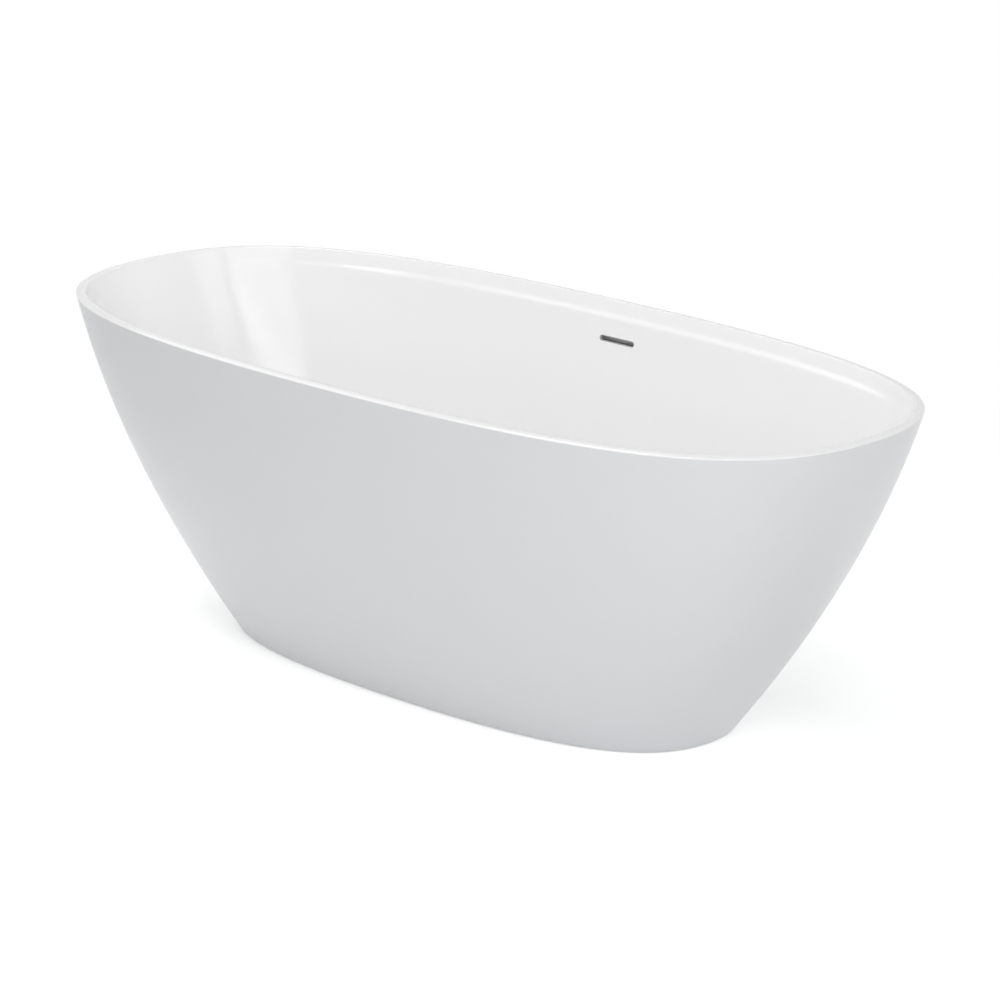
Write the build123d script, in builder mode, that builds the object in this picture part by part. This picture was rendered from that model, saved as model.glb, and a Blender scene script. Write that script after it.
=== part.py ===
"""Freestanding oval bath: a double shell on four levelling feet, with waste, overflow and trap.

Millimetres, +Z up. The origin is on the floor at the middle of the bath, +X runs along its length
and +Y points to the side that holds the overflow.
"""

import os
from itertools import pairwise
from math import atan, cos, radians, sin, sqrt, tan

from build123d import *

# Outer form
RIM_LENGTH = 1700.0
RIM_WIDTH = 760.0
HEIGHT = 580.0
FOOT_LENGTH = 1050.0
FOOT_WIDTH = 416.0
END_SWELL = 33.0
SIDE_SWELL = 31.0
RIM_FULLNESS = 0.736
FOOT_FULLNESS = 0.706

# Skirt, the outer shell
SKIRT_WALL = 5.0
SKIRT_CLEARANCE = 2.0
SKIRT_FLANGE_WIDTH = 15.0
SKIRT_EDGE_RADIUS = 1.5

# Basin, the inner shell with the rim
BASIN_WALL = 6.0
BASIN_FLOOR_WALL = 12.0
BASIN_FLOOR_LEVEL = 130.0
BASIN_CORNER_RADIUS = 80.0
FLOOR_GAP = 56.0
RIM_FLAT_WIDTH = 20.0
RIM_WALL = 5.0
RIM_OUTER_RADIUS = 4.0
RIM_CHAMFER = 1.5
LEDGE_DROP = 21.0
LEDGE_GAP = 28.5
LEDGE_SOFTNESS = 0.6
DISH_RADIUS = 120.0
DISH_DEPTH = 3.0

# Bond line between rim and skirt
BOND_WALL = 1.0

# Base board and cross rails
BOARD_WALL = 15.0
BOARD_MARGIN = 8.0
BOARD_HOLE_RADIUS = 46.0
BOARD_NOTCH_WIDTH = 42.0
RAIL_SPACING = 660.0
RAIL_WIDTH = 40.0
RAIL_DEPTH = 30.0
RAIL_WALL = 2.0
RAIL_CORNER_RADIUS = 3.0
RAIL_SCREW_SPACING = 120.0
SCREW_RADIUS = 2.5
SCREW_LENGTH = 15.0
SCREW_HEAD_RADIUS = 5.0
SCREW_HEAD_DEPTH = 3.0
BUFFER_PLUG_DEPTH = 12.0
BUFFER_LENGTH = 15.0
BUFFER_REACH = 50.0

# Levelling feet
FOOT_END_MARGIN = 55.0
STUD_RADIUS = 6.0
STUD_LENGTH = 99.5
STUD_HEX_ACROSS = 15.0
STUD_HEX_DEPTH = 8.0
STUD_HEX_GAP = 2.0
NUT_ACROSS = 19.0
NUT_DEPTH = 10.0
LOCK_NUT_DEPTH = 8.0
PAD_RADIUS = 25.0
PAD_NECK_RADIUS = 11.0
PAD_EDGE = 5.0
PAD_DEPTH = 13.0
PAD_SOCKET_DEPTH = 8.0
SOLE_DEPTH = 3.0

# Waste in the basin floor
WASTE_BORE = 20.0
WASTE_TUBE_WALL = 3.5
WASTE_TUBE_LENGTH = 30.0
WASTE_FLANGE_RADIUS = 35.5
WASTE_FLANGE_WALL = 2.5
WASTE_EDGE_RADIUS = 1.0
WASTE_SEAT_RADIUS = 29.0
WASTE_SEAT_DEPTH = 2.0
WASTE_RECESS_DEPTH = 3.0
SPIDER_DEPTH = 5.0
SPIDER_ARM_WIDTH = 3.0
SPIDER_BOSS_RADIUS = 11.5
GASKET_WALL = 1.0
LOWER_GASKET_WALL = 3.0
LOWER_GASKET_RADIUS = 38.0

# Plug of the pop-up waste
PLUG_RADIUS = 33.0
PLUG_EDGE = 2.0
PLUG_CROWN = 2.5
PLUG_LIFT_GAP = 0.5
STEM_RADIUS = 5.0
STEM_LENGTH = 24.0
SEAL_RADIUS = 28.0
SEAL_FOOT_RADIUS = 21.0
SEAL_DEPTH = 1.7
CARTRIDGE_RADIUS = 8.5
CARTRIDGE_LENGTH = 27.0
CARTRIDGE_FLOOR = 2.0
SPRING_WIRE = 1.0
SPRING_TURNS = 4

# Waste body under the basin
BODY_FLANGE_RADIUS = 40.0
BODY_FLANGE_WALL = 6.0
BODY_RADIUS = 34.0
BODY_WALL = 3.5
BODY_DEPTH = 31.0
BODY_CHAMBER_DEPTH = 17.5
TAIL_RADIUS = 24.0
TAIL_BORE = 20.5
TAIL_LENGTH = 18.0
INLET_DROP = 19.0
INLET_REACH = 64.0

# Trap below the waste body
TRAP_WASHER_WALL = 2.0
TRAP_COLLAR_RADIUS = 26.0
TRAP_COLLAR_WALL = 4.0
TRAP_NECK_RADIUS = 22.5
TRAP_NECK_BORE = 19.5
TRAP_NECK_LENGTH = 14.0
TRAP_CUP_RADIUS = 50.0
TRAP_CUP_WALL = 3.0
TRAP_CUP_FLOOR_LEVEL = 10.0
TRAP_DIP_CLEARANCE = 6.0
TRAP_WEIR_RADIUS = 32.0
TRAP_WEIR_WALL = 2.5
TRAP_WEIR_HEIGHT = 28.0
UNION_RADIUS = 31.0
UNION_LIP = 5.0
UNION_GRIP = 14.0
UNION_RIBS = 12
UNION_RIB_RADIUS = 2.0
OUTLET_LEVEL = 33.0
OUTLET_RADIUS = 23.5
OUTLET_BORE = 17.5
SOCKET_BORE = 20.2
SOCKET_DEPTH = 25.0
OUTLET_REACH = 96.0
OUTLET_LENGTH = 60.0
OUTLET_NUT_RADIUS = 27.5
OUTLET_NUT_LENGTH = 18.0
OUTLET_NUT_LIP = 3.0
OUTLET_SEAL_LENGTH = 5.0

# Overflow in the far wall
OVERFLOW_DROP = 62.0
SLOT_LENGTH = 78.0
SLOT_HEIGHT = 10.5
TRIM_WALL = 1.2
TRIM_DEPTH = 16.0
MANIFOLD_LENGTH = 100.0
MANIFOLD_RISE = 16.0
MANIFOLD_DROP = 104.0
MANIFOLD_DEPTH = 11.0
MANIFOLD_WALL = 2.0
MANIFOLD_BOX_LENGTH = 88.0
MANIFOLD_CORNER_RADIUS = 8.0
MANIFOLD_FLANGE_WALL = 2.0
MANIFOLD_FLANGE_DROP = 22.0
MANIFOLD_THROAT_DROP = 165.0
MANIFOLD_SPIGOT_DROP = 196.0
OVERFLOW_GASKET_WALL = 2.0

# Overflow hose
SPIGOT_RADIUS = 10.0
SPIGOT_BORE = 8.0
SPIGOT_GRIP = 18.0
HOSE_WALL = 2.0
COLLAR_WALL = 1.3
COLLAR_LENGTH = 14.0
HOSE_BEND_RADIUS = 90.0
HOSE_FALL_SHARES = [0.79, 0.43, 0.14, 0.0]
HOSE_SKIRT_GAPS = [15.0, 21.0, 29.0, 62.0]

# Clearances
FIT = 0.1
MOVING_GAP = 0.3

# Outlines used for the bowl
WALL_STEPS = 12
LEDGE_STEPS = 4

# Levels that follow from the sizes above
RIM_UNDERSIDE = HEIGHT - RIM_WALL
OVERFLOW_LEVEL = HEIGHT - OVERFLOW_DROP
SKIRT_TOP = RIM_UNDERSIDE - BOND_WALL
LEDGE_LEVEL = HEIGHT - LEDGE_DROP
BASIN_UNDERSIDE = BASIN_FLOOR_LEVEL - BASIN_FLOOR_WALL
BOARD_UNDERSIDE = BASIN_UNDERSIDE - BOARD_WALL
RAIL_UNDERSIDE = BOARD_UNDERSIDE - RAIL_DEPTH
WASTE_SEAT_LEVEL = BASIN_FLOOR_LEVEL - DISH_DEPTH - WASTE_RECESS_DEPTH
WASTE_FLANGE_LEVEL = WASTE_SEAT_LEVEL + GASKET_WALL
WASTE_FLANGE_TOP = WASTE_FLANGE_LEVEL + WASTE_FLANGE_WALL
WASTE_RECESS_RADIUS = WASTE_FLANGE_RADIUS + 5 * FIT
WASTE_TUBE_RADIUS = WASTE_BORE + WASTE_TUBE_WALL
WASTE_HOLE_RADIUS = WASTE_TUBE_RADIUS + 10 * FIT
BODY_TOP = BASIN_UNDERSIDE - LOWER_GASKET_WALL
BODY_UNDERSIDE = BODY_TOP - BODY_DEPTH
INLET_LEVEL = BODY_TOP - INLET_DROP
TAIL_END = BODY_UNDERSIDE - TAIL_LENGTH
TRAP_TOP = TAIL_END - MOVING_GAP - TRAP_WASHER_WALL
TRAP_CUP_TOP = TRAP_TOP - TRAP_NECK_LENGTH + TRAP_CUP_WALL
TRAP_DIP_END = TRAP_CUP_FLOOR_LEVEL + TRAP_CUP_WALL + TRAP_DIP_CLEARANCE
PLUG_LEVEL = WASTE_FLANGE_TOP + PLUG_LIFT_GAP
TRIM_LENGTH = SLOT_LENGTH + 2 * TRIM_WALL
TRIM_HEIGHT = SLOT_HEIGHT + 2 * TRIM_WALL
MANIFOLD_FACE = OVERFLOW_GASKET_WALL + FIT / 2
CARTRIDGE_LEVEL = WASTE_FLANGE_LEVEL - WASTE_TUBE_LENGTH

HOSE_BORE = SPIGOT_RADIUS + FIT
HOSE_RADIUS = HOSE_BORE + HOSE_WALL
COLLAR_BORE = HOSE_RADIUS + FIT
PAD_TOP = SOLE_DEPTH + PAD_DEPTH
STUD_FOOT = PAD_TOP - PAD_SOCKET_DEPTH + MOVING_GAP

STANDING = (Align.CENTER, Align.CENTER, Align.MIN)
HANGING = (Align.CENTER, Align.CENTER, Align.MAX)
SIDES = {"left": -1, "right": 1}

os.makedirs("parts", exist_ok=True)


def finish(node, label):
    """Label a finished sub-part and write its STEP file."""
    node.part.label = label
    export_step(node.part, f"parts/{label}.step")


# Plan outlines


def half_width_at(level):
    """Half the width of the outer form at a height: a straight taper with a parabolic swell."""
    rise = level / HEIGHT
    return FOOT_WIDTH / 2 + (RIM_WIDTH - FOOT_WIDTH) / 2 * rise + SIDE_SWELL * 4 * rise * (1 - rise)


def half_length_at(level):
    """Half the length of the outer form at a height."""
    rise = level / HEIGHT
    return FOOT_LENGTH / 2 + (RIM_LENGTH - FOOT_LENGTH) / 2 * rise + END_SWELL * 4 * rise * (1 - rise)


def fullness_at(level):
    """How square the outline is at a height."""
    return FOOT_FULLNESS + (RIM_FULLNESS - FOOT_FULLNESS) * level / HEIGHT


def oval(level, half_length, half_width, fullness):
    """Closed oval at a height, made of four Bezier quarters whose handles set its fullness."""
    east = Vector(half_length, 0)
    north = Vector(0, half_width)
    corners = [east, north, -east, -north, east]
    with BuildSketch(Plane.XY.offset(level)) as outline:
        with BuildLine():
            for start, end in pairwise(corners):
                Bezier(start, start + end * fullness, end + start * fullness, end)
        make_face()
    return outline.sketch


def shell_outline(level, inset=0.0):
    """The outer form's outline at a height, drawn in by an even inset."""
    return oval(level, half_length_at(level) - inset, half_width_at(level) - inset, fullness_at(level))


def side_at(level, along, inset=0.0):
    """Distance of the outline from the bath's long axis, at a height and a place along that axis."""

    def reach(turn):
        rest = 1 - turn
        return rest**3 + 3 * rest**2 * turn + 3 * fullness_at(level) * rest * turn**2

    near, far = 0.0, 1.0
    while far - near > 1e-9:
        turn = (near + far) / 2
        if (half_length_at(level) - inset) * reach(turn) > along:
            near = turn
        else:
            far = turn
    return (half_width_at(level) - inset) * reach(1 - far)


def shell_sections(low, high, inset=0.0):
    """Three outlines that carry the outer form from one height to another."""
    return [shell_outline(level, inset) for level in (low, (low + high) / 2, high)]


def wall_gap(level):
    """Horizontal distance from the outer form to the inside of the basin wall."""
    share = (LEDGE_LEVEL - level) / (LEDGE_LEVEL - BASIN_FLOOR_LEVEL)
    return LEDGE_GAP + (FLOOR_GAP - LEDGE_GAP) * share


def ledge_gap(level):
    """The same distance on the slope between the flat rim and the ledge line."""
    return RIM_FLAT_WIDTH + (LEDGE_GAP - RIM_FLAT_WIDTH) * (HEIGHT - level) / LEDGE_DROP


def corner_inset(level, floor, radius):
    """How far the rounded corner over a floor pulls the wall in at a height."""
    below = max(radius - (level - floor), 0.0)
    return radius - sqrt(radius**2 - below**2)


def inner_gap(level):
    """Distance from the outer form to the inside, with the ledge line blended softly."""
    slope = ledge_gap(level)
    wall = wall_gap(level)
    return (slope + wall) / 2 - sqrt(((slope - wall) / 2) ** 2 + LEDGE_SOFTNESS**2)


def bowl_sections(floor, radius, growth, top):
    """Outlines of the bowl from its floor to a top level, grown outwards by a wall.

    The outlines come closer together towards the ledge line, so that the loft stays true there.
    """
    levels = [floor + radius * (1 - cos(radians(turn))) for turn in (0, 22.5, 45, 67.5, 90)]
    wall_height = LEDGE_LEVEL - levels[-1]
    levels += [LEDGE_LEVEL - wall_height * (1 - step / WALL_STEPS) ** 2 for step in range(1, WALL_STEPS + 1)]
    levels += [LEDGE_LEVEL + (top - LEDGE_LEVEL) * step / LEDGE_STEPS for step in range(1, LEDGE_STEPS + 1)]
    return [
        shell_outline(level, inner_gap(level) - growth + corner_inset(level, floor, radius))
        for level in levels
    ]


def rim_sections():
    """Outlines of the rim plate, rounded over at its top outer edge."""
    turns = [radians(angle) for angle in (0, 22.5, 45, 67.5, 90)]
    rounded = [
        shell_outline(HEIGHT - RIM_OUTER_RADIUS * (1 - sin(turn)), RIM_OUTER_RADIUS * (1 - cos(turn)))
        for turn in turns
    ]
    return [shell_outline(RIM_UNDERSIDE), *rounded]


def inner_wall_slope():
    """Slope of the inner wall from the vertical at the overflow, as an angle."""
    rise = OVERFLOW_LEVEL / HEIGHT
    outer = (RIM_WIDTH - FOOT_WIDTH) / 2 / HEIGHT + SIDE_SWELL * 4 * (1 - 2 * rise) / HEIGHT
    narrowing = (FLOOR_GAP - LEDGE_GAP) / (LEDGE_LEVEL - BASIN_FLOOR_LEVEL)
    return atan(outer + narrowing)


def skirt_inside(level):
    """Distance of the skirt's inner face from the long axis, at the middle of a side."""
    return half_width_at(level) - SKIRT_WALL


def basin_outside(level):
    """Distance of the back of the basin wall from the long axis, at the middle of a side."""
    return half_width_at(level) - wall_gap(level) + BASIN_WALL


# The rails stop short of the skirt by the buffers and are cut to a whole millimetre

rail_corner = (RAIL_SPACING + RAIL_WIDTH) / 2
RAIL_LENGTH = 2 * int(side_at(RAIL_UNDERSIDE, rail_corner, SKIRT_WALL) - BUFFER_LENGTH)
FOOT_SPACING = RAIL_LENGTH - 2 * FOOT_END_MARGIN
FOOT_SPOTS = {
    "front_left": (-RAIL_SPACING / 2, -FOOT_SPACING / 2),
    "front_right": (RAIL_SPACING / 2, -FOOT_SPACING / 2),
    "back_left": (-RAIL_SPACING / 2, FOOT_SPACING / 2),
    "back_right": (RAIL_SPACING / 2, FOOT_SPACING / 2),
}

# The overflow's own plane lies on the back of the basin wall: local X along the bath, local Y up
# the wall, local Z out towards the skirt.
OVERFLOW_TILT = inner_wall_slope()
OVERFLOW_BACK = basin_outside(OVERFLOW_LEVEL)
OVERFLOW_PLANE = Plane(
    origin=(0, OVERFLOW_BACK, OVERFLOW_LEVEL),
    x_dir=(-1, 0, 0),
    z_dir=(0, cos(OVERFLOW_TILT), -sin(OVERFLOW_TILT)),
)

# The manifold's spigot runs down the middle of the cavity between basin and skirt
spigot_middle = MANIFOLD_SPIGOT_DROP - SPIGOT_GRIP / 2
spigot_level = OVERFLOW_LEVEL - spigot_middle * cos(OVERFLOW_TILT)
cavity_middle = (skirt_inside(spigot_level) + basin_outside(spigot_level)) / 2
wall_line = OVERFLOW_BACK - spigot_middle * sin(OVERFLOW_TILT)
MANIFOLD_SPIGOT_OFFSET = (cavity_middle - wall_line) / cos(OVERFLOW_TILT)

# Outer shell: an open-bottomed skirt with an inward flange that carries the rim

with BuildPart() as skirt:
    loft(sections=shell_sections(SKIRT_CLEARANCE, SKIRT_TOP))
    outer_foot = skirt.edges().group_by(Axis.Z)[0]
    fillet(outer_foot, SKIRT_EDGE_RADIUS)
    loft(sections=shell_sections(SKIRT_CLEARANCE, SKIRT_TOP - SKIRT_WALL, SKIRT_WALL), mode=Mode.SUBTRACT)
    loft(
        sections=[shell_outline(level, SKIRT_FLANGE_WIDTH) for level in (SKIRT_TOP - SKIRT_WALL, SKIRT_TOP)],
        ruled=True,
        mode=Mode.SUBTRACT,
    )
finish(skirt, "skirt")

# Adhesive ring that bonds the rim to the skirt's flange

with BuildPart() as rim_bond:
    extrude(shell_outline(SKIRT_TOP), amount=BOND_WALL)
    extrude(shell_outline(SKIRT_TOP, SKIRT_FLANGE_WIDTH), amount=BOND_WALL, mode=Mode.SUBTRACT)
finish(rim_bond, "rim_bond")

# Inner shell: rim plate, slope to the ledge and bowl, with the waste seat and the overflow slot

with BuildPart() as basin:
    loft(sections=rim_sections())
    loft(
        sections=bowl_sections(
            BASIN_UNDERSIDE,
            BASIN_CORNER_RADIUS + BASIN_WALL,
            BASIN_WALL,
            RIM_UNDERSIDE + RIM_WALL / 2,
        )
    )
    loft(
        sections=bowl_sections(BASIN_FLOOR_LEVEL, BASIN_CORNER_RADIUS, 0.0, HEIGHT),
        mode=Mode.SUBTRACT,
    )
    loft(
        sections=[
            shell_outline(HEIGHT + step * RIM_CHAMFER, inner_gap(HEIGHT) - (1 + step) * RIM_CHAMFER)
            for step in (-2, 0.5)
        ],
        ruled=True,
        mode=Mode.SUBTRACT,
    )
    with Locations((0, 0, BASIN_FLOOR_LEVEL - DISH_DEPTH)):
        Cone(WASTE_RECESS_RADIUS, DISH_RADIUS, DISH_DEPTH, align=STANDING, mode=Mode.SUBTRACT)
        Cylinder(WASTE_RECESS_RADIUS, WASTE_RECESS_DEPTH, align=HANGING, mode=Mode.SUBTRACT)
        Cylinder(WASTE_HOLE_RADIUS, BASIN_FLOOR_WALL, align=HANGING, mode=Mode.SUBTRACT)
    with BuildSketch(OVERFLOW_PLANE):
        SlotOverall(TRIM_LENGTH + 2 * FIT, TRIM_HEIGHT + 2 * FIT)
    extrude(amount=2 * BASIN_WALL, both=True, mode=Mode.SUBTRACT)
finish(basin, "basin")

# Base board bonded under the basin floor, with a cut-out for the waste and the overflow hose

with BuildPart() as base_board:
    board_inset = wall_gap(BASIN_UNDERSIDE) + BASIN_CORNER_RADIUS + BOARD_MARGIN
    extrude(shell_outline(BASIN_UNDERSIDE, board_inset), amount=-BOARD_WALL)
    with Locations((0, 0, BASIN_UNDERSIDE)):
        Cylinder(BOARD_HOLE_RADIUS, BOARD_WALL, align=HANGING, mode=Mode.SUBTRACT)
        Box(
            BOARD_NOTCH_WIDTH,
            FOOT_WIDTH,
            BOARD_WALL,
            align=(Align.CENTER, Align.MIN, Align.MAX),
            mode=Mode.SUBTRACT,
        )
    with Locations((0, 0, BOARD_UNDERSIDE)):
        with GridLocations(RAIL_SPACING, RAIL_SCREW_SPACING, 2, 2):
            Cylinder(SCREW_RADIUS + FIT, SCREW_LENGTH, align=STANDING, mode=Mode.SUBTRACT)
finish(base_board, "base_board")

# Two box-section cross rails under the board

for side, sign in SIDES.items():
    with BuildPart() as cross_rail:
        with BuildSketch(Plane.XZ):
            with Locations((sign * RAIL_SPACING / 2, RAIL_UNDERSIDE + RAIL_DEPTH / 2)):
                RectangleRounded(RAIL_WIDTH, RAIL_DEPTH, RAIL_CORNER_RADIUS)
                Rectangle(RAIL_WIDTH - 2 * RAIL_WALL, RAIL_DEPTH - 2 * RAIL_WALL, mode=Mode.SUBTRACT)
        extrude(amount=RAIL_LENGTH / 2, both=True)
        with Locations((sign * RAIL_SPACING / 2, 0, RAIL_UNDERSIDE)):
            with GridLocations(0, FOOT_SPACING, 1, 2):
                Cylinder(STUD_RADIUS + 2 * MOVING_GAP, RAIL_DEPTH, align=STANDING, mode=Mode.SUBTRACT)
            with GridLocations(0, RAIL_SCREW_SPACING, 1, 2):
                Cylinder(SCREW_RADIUS + FIT, RAIL_DEPTH, align=STANDING, mode=Mode.SUBTRACT)
                Cylinder(SCREW_HEAD_RADIUS + 10 * FIT, RAIL_WALL, align=STANDING, mode=Mode.SUBTRACT)
    finish(cross_rail, f"cross_rail_{side}")

# Screws that hold the rails to the board, driven from inside the rails

with BuildPart() as rail_screws:
    with Locations((0, 0, BOARD_UNDERSIDE - RAIL_WALL)):
        with GridLocations(RAIL_SPACING, RAIL_SCREW_SPACING, 2, 2):
            Cylinder(SCREW_RADIUS, SCREW_LENGTH, align=STANDING)
            Cylinder(SCREW_HEAD_RADIUS, SCREW_HEAD_DEPTH, align=HANGING)
finish(rail_screws, "rail_screws")

# Plastic buffers that close the rail ends and steady the skirt

with BuildPart() as rail_end_buffers:
    with Locations((0, 0, RAIL_UNDERSIDE + RAIL_DEPTH / 2)):
        with GridLocations(RAIL_SPACING, RAIL_LENGTH, 2, 2):
            Box(
                RAIL_WIDTH - 2 * RAIL_WALL - 2 * FIT,
                2 * BUFFER_PLUG_DEPTH,
                RAIL_DEPTH - 2 * RAIL_WALL - 2 * FIT,
            )
        for sign in SIDES.values():
            with Locations((0, sign * RAIL_LENGTH / 2, 0)):
                with GridLocations(RAIL_SPACING, 0, 2, 1):
                    Box(
                        RAIL_WIDTH,
                        BUFFER_REACH,
                        RAIL_DEPTH,
                        align=(Align.CENTER, Align.MIN if sign > 0 else Align.MAX, Align.CENTER),
                    )
    loft(
        sections=shell_sections(SKIRT_CLEARANCE, SKIRT_TOP - SKIRT_WALL, SKIRT_WALL + FIT),
        mode=Mode.INTERSECT,
    )
finish(rail_end_buffers, "rail_end_buffers")

# Nuts welded under the rails, and the lock nuts below them

with BuildPart() as rail_weld_nuts:
    with BuildSketch(Plane.XY.offset(RAIL_UNDERSIDE)):
        with GridLocations(RAIL_SPACING, FOOT_SPACING, 2, 2):
            RegularPolygon(NUT_ACROSS / 2, 6, major_radius=False)
            Circle(STUD_RADIUS + MOVING_GAP, mode=Mode.SUBTRACT)
    extrude(amount=-NUT_DEPTH)
finish(rail_weld_nuts, "rail_weld_nuts")

with BuildPart() as foot_lock_nuts:
    with BuildSketch(Plane.XY.offset(RAIL_UNDERSIDE - NUT_DEPTH)):
        with GridLocations(RAIL_SPACING, FOOT_SPACING, 2, 2):
            RegularPolygon(NUT_ACROSS / 2, 6, major_radius=False)
            Circle(STUD_RADIUS + MOVING_GAP, mode=Mode.SUBTRACT)
    extrude(amount=-LOCK_NUT_DEPTH)
finish(foot_lock_nuts, "foot_lock_nuts")

# Four levelling feet, each a stud, a pad and a rubber sole

for spot, (x, y) in FOOT_SPOTS.items():
    with BuildPart() as foot_stud:
        with Locations((x, y, STUD_FOOT)):
            Cylinder(STUD_RADIUS, STUD_LENGTH, align=STANDING)
        with BuildSketch(Plane.XY.offset(PAD_TOP + STUD_HEX_GAP)):
            with Locations((x, y)):
                RegularPolygon(STUD_HEX_ACROSS / 2, 6, major_radius=False)
        extrude(amount=STUD_HEX_DEPTH)
    finish(foot_stud, f"foot_stud_{spot}")

    with BuildPart() as foot_pad:
        with Locations((x, y, SOLE_DEPTH)):
            Cylinder(PAD_RADIUS, PAD_EDGE, align=STANDING)
        with Locations((x, y, SOLE_DEPTH + PAD_EDGE)):
            Cone(PAD_RADIUS, PAD_NECK_RADIUS, PAD_DEPTH - PAD_EDGE, align=STANDING)
        with Locations((x, y, PAD_TOP)):
            Cylinder(STUD_RADIUS + MOVING_GAP, PAD_SOCKET_DEPTH, align=HANGING, mode=Mode.SUBTRACT)
    finish(foot_pad, f"foot_pad_{spot}")

    with BuildPart() as foot_sole:
        with Locations((x, y, 0)):
            Cylinder(PAD_RADIUS, SOLE_DEPTH, align=STANDING)
    finish(foot_sole, f"foot_sole_{spot}")

# Chromed waste flange with a spider that holds the plug cartridge

with BuildPart() as waste_flange:
    with Locations((0, 0, WASTE_FLANGE_LEVEL)):
        Cylinder(WASTE_FLANGE_RADIUS, WASTE_FLANGE_WALL, align=STANDING)
        Cylinder(WASTE_TUBE_RADIUS, WASTE_TUBE_LENGTH, align=HANGING)
    fillet(waste_flange.edges().group_by(Axis.Z)[-1], WASTE_EDGE_RADIUS)
    with Locations((0, 0, WASTE_FLANGE_TOP)):
        Cylinder(WASTE_BORE, WASTE_FLANGE_WALL + WASTE_TUBE_LENGTH, align=HANGING, mode=Mode.SUBTRACT)
        Cone(WASTE_BORE, WASTE_SEAT_RADIUS, WASTE_SEAT_DEPTH, align=HANGING, mode=Mode.SUBTRACT)
    with Locations((0, 0, CARTRIDGE_LEVEL)):
        Box(2 * WASTE_BORE + WASTE_TUBE_WALL, SPIDER_ARM_WIDTH, SPIDER_DEPTH, align=STANDING)
        Box(SPIDER_ARM_WIDTH, 2 * WASTE_BORE + WASTE_TUBE_WALL, SPIDER_DEPTH, align=STANDING)
        Cylinder(SPIDER_BOSS_RADIUS, SPIDER_DEPTH, align=STANDING)
        Cylinder(CARTRIDGE_RADIUS + FIT, SPIDER_DEPTH, align=STANDING, mode=Mode.SUBTRACT)
finish(waste_flange, "waste_flange")

with BuildPart() as waste_flange_gasket:
    with Locations((0, 0, WASTE_SEAT_LEVEL)):
        Cylinder(WASTE_FLANGE_RADIUS, GASKET_WALL, align=STANDING)
        Cylinder(WASTE_TUBE_RADIUS + FIT, GASKET_WALL, align=STANDING, mode=Mode.SUBTRACT)
finish(waste_flange_gasket, "waste_flange_gasket")

with BuildPart() as waste_lower_gasket:
    with Locations((0, 0, BODY_TOP)):
        Cylinder(LOWER_GASKET_RADIUS, LOWER_GASKET_WALL, align=STANDING)
        Cylinder(WASTE_TUBE_RADIUS + FIT, LOWER_GASKET_WALL, align=STANDING, mode=Mode.SUBTRACT)
finish(waste_lower_gasket, "waste_lower_gasket")

# Plug cartridge and its return spring

with BuildPart() as popup_cartridge:
    with Locations((0, 0, CARTRIDGE_LEVEL)):
        Cylinder(CARTRIDGE_RADIUS, CARTRIDGE_LENGTH, align=STANDING)
    with Locations((0, 0, CARTRIDGE_LEVEL + CARTRIDGE_FLOOR)):
        Cylinder(STEM_RADIUS + MOVING_GAP, CARTRIDGE_LENGTH, align=STANDING, mode=Mode.SUBTRACT)
finish(popup_cartridge, "popup_cartridge")

spring_radius = STEM_RADIUS - SPRING_WIRE
spring_foot = CARTRIDGE_LEVEL + CARTRIDGE_FLOOR + SPRING_WIRE / 2
spring_head = PLUG_LEVEL - STEM_LENGTH - SPRING_WIRE / 2
with BuildPart() as popup_spring:
    with BuildLine():
        coil = Helix(
            pitch=(spring_head - spring_foot) / SPRING_TURNS,
            height=spring_head - spring_foot,
            radius=spring_radius,
            center=(0, 0, spring_foot),
        )
    with BuildSketch(coil ^ 0):
        Circle(SPRING_WIRE / 2)
    sweep(path=coil, is_frenet=True)
finish(popup_spring, "popup_spring")

# Plug: cap, seal and stem

with BuildPart() as plug_cap:
    with Locations((0, 0, PLUG_LEVEL)):
        Cylinder(PLUG_RADIUS, PLUG_EDGE, align=STANDING)
    with BuildSketch(Plane.XZ):
        with BuildLine():
            crown_edge = (PLUG_RADIUS, PLUG_LEVEL + PLUG_EDGE)
            crown_top = (0, PLUG_LEVEL + PLUG_EDGE + PLUG_CROWN)
            crown_foot = (0, PLUG_LEVEL + PLUG_EDGE)
            TangentArc(crown_top, crown_edge, tangent=(1, 0))
            Polyline(crown_edge, crown_foot, crown_top)
        make_face()
    revolve(axis=Axis.Z)
finish(plug_cap, "plug_cap")

with BuildPart() as plug_seal:
    with Locations((0, 0, PLUG_LEVEL)):
        Cone(SEAL_FOOT_RADIUS, SEAL_RADIUS, SEAL_DEPTH, align=HANGING)
        Cylinder(STEM_RADIUS + FIT, SEAL_DEPTH, align=HANGING, mode=Mode.SUBTRACT)
finish(plug_seal, "plug_seal")

with BuildPart() as plug_stem:
    with Locations((0, 0, PLUG_LEVEL)):
        Cylinder(STEM_RADIUS, STEM_LENGTH, align=HANGING)
finish(plug_stem, "plug_stem")

# Waste body with the overflow inlet on its back

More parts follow.
